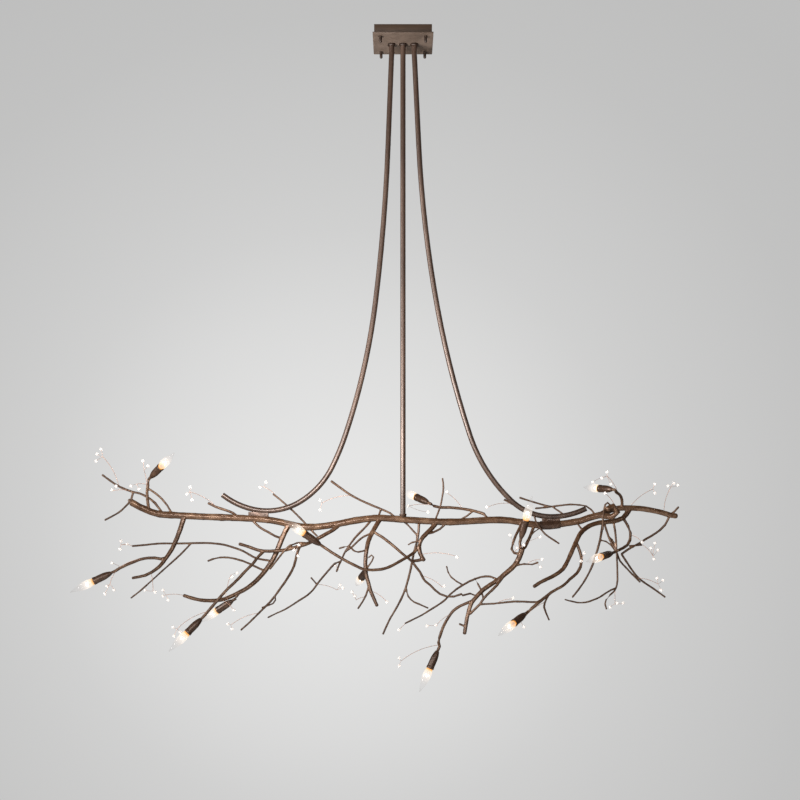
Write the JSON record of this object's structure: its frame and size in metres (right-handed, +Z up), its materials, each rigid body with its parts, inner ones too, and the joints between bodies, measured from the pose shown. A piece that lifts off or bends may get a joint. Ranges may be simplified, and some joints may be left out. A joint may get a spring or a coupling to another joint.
{
  "type": "chandelier",
  "caption": "Branch-shaped ceiling chandelier hung on three tubes from a square canopy, with bulbs in cups at its twig ends and wire sprays of small glass beads.",
  "frame": {"origin": "centre of the canopy's top edge, in the ceiling plane, midway between the two outlet box screw holes", "axes": "+X along the branch, to the right in the picture; +Y away from the viewer; +Z up towards the ceiling"},
  "size_m": [1.8224, 0.3297, 1.9679],
  "materials": {
    "steel": "zinc plated",
    "brass": "turned",
    "canopy_bronze": "bronze patina, satin",
    "tube_bronze": "bronze patina, satin",
    "branch_bronze": "dark bronze patina, hand finished",
    "cup_bronze": "dark bronze patina, satin",
    "insulation": "matte",
    "wire_nut": "moulded",
    "holder": "moulded",
    "bulb": "clear, with a glowing filament",
    "copper": "bare copper wire",
    "crystal": "clear, cut"
  },
  "bodies": {
    "fixture": {"mounting_bracket": "steel", "bracket_studs": "steel", "canopy_box": "canopy_bronze", "canopy_plate": "canopy_bronze", "finial_nuts": "cup_bronze", "stem_nipples": "brass", "stem_locknuts": "steel", "stem_collars": "cup_bronze", "stem_left": "tube_bronze", "stem_centre": "tube_bronze", "stem_right": "tube_bronze", "stem_wires": "insulation", "supply_leads": "insulation", "wire_nuts": "wire_nut", "stem_saddles": "cup_bronze", "saddle_screws": "cup_bronze", "centre_flange": "cup_bronze", "trunk": "branch_bronze", "trunk_loom": "insulation", "branch_left_tip": "branch_bronze", "limb_left_outer": "branch_bronze", "limb_left_long": "branch_bronze", "limb_left_middle": "branch_bronze", "limb_centre": "branch_bronze", "limb_centre_right": "branch_bronze", "twigs_centre": "branch_bronze", "arm_centre_top": "branch_bronze", "limb_low": "branch_bronze", "limb_right": "branch_bronze", "limb_right_front": "branch_bronze", "twigs_right": "branch_bronze", "twigs_top": "branch_bronze", "cup_01": "cup_bronze", "cup_02": "cup_bronze", "cup_03": "cup_bronze", "cup_04": "cup_bronze", "cup_05": "cup_bronze", "cup_06": "cup_bronze", "cup_07": "cup_bronze", "cup_08": "cup_bronze", "cup_09": "cup_bronze", "cup_10": "cup_bronze", "cup_11": "cup_bronze", "cup_12": "cup_bronze", "lampholders": "holder", "spray_wires": "copper", "spray_beads": "crystal"},
    "bulb_01": {"bulb_01": "bulb"},
    "bulb_02": {"bulb_02": "bulb"},
    "bulb_03": {"bulb_03": "bulb"},
    "bulb_04": {"bulb_04": "bulb"},
    "bulb_05": {"bulb_05": "bulb"},
    "bulb_06": {"bulb_06": "bulb"},
    "bulb_07": {"bulb_07": "bulb"},
    "bulb_08": {"bulb_08": "bulb"},
    "bulb_09": {"bulb_09": "bulb"},
    "bulb_10": {"bulb_10": "bulb"},
    "bulb_11": {"bulb_11": "bulb"},
    "bulb_12": {"bulb_12": "bulb"}
  },
  "joints": [
    {"name": "bulb_01_out", "type": "slide", "parent": "fixture", "child": "bulb_01", "axis": [0.6217, -0.6017, 0.5014], "range_m": [0, 0.018]},
    {"name": "bulb_02_out", "type": "slide", "parent": "fixture", "child": "bulb_02", "axis": [-0.9016, -0.0401, -0.4308], "range_m": [0, 0.018]},
    {"name": "bulb_03_out", "type": "slide", "parent": "fixture", "child": "bulb_03", "axis": [-0.6891, -0.1498, -0.709], "range_m": [0, 0.018]},
    {"name": "bulb_04_out", "type": "slide", "parent": "fixture", "child": "bulb_04", "axis": [-0.7876, 0.3534, -0.5048], "range_m": [0, 0.018]},
    {"name": "bulb_05_out", "type": "slide", "parent": "fixture", "child": "bulb_05", "axis": [-0.8026, -0.2006, 0.5618], "range_m": [0, 0.018]},
    {"name": "bulb_06_out", "type": "slide", "parent": "fixture", "child": "bulb_06", "axis": [-0.5986, 0.7431, 0.2993], "range_m": [0, 0.018]},
    {"name": "bulb_07_out", "type": "slide", "parent": "fixture", "child": "bulb_07", "axis": [-0.2497, 0.8991, -0.3596], "range_m": [0, 0.018]},
    {"name": "bulb_08_out", "type": "slide", "parent": "fixture", "child": "bulb_08", "axis": [-0.4054, -0.0608, -0.9121], "range_m": [0, 0.018]},
    {"name": "bulb_09_out", "type": "slide", "parent": "fixture", "child": "bulb_09", "axis": [-0.6335, -0.6438, -0.4292], "range_m": [0, 0.018]},
    {"name": "bulb_10_out", "type": "slide", "parent": "fixture", "child": "bulb_10", "axis": [0.223, -0.2838, 0.9326], "range_m": [0, 0.018]},
    {"name": "bulb_11_out", "type": "slide", "parent": "fixture", "child": "bulb_11", "axis": [-0.6743, -0.7152, -0.1839], "range_m": [0, 0.018]},
    {"name": "bulb_12_out", "type": "slide", "parent": "fixture", "child": "bulb_12", "axis": [-0.5202, 0.8503, 0.08], "range_m": [0, 0.018]}
  ]
}
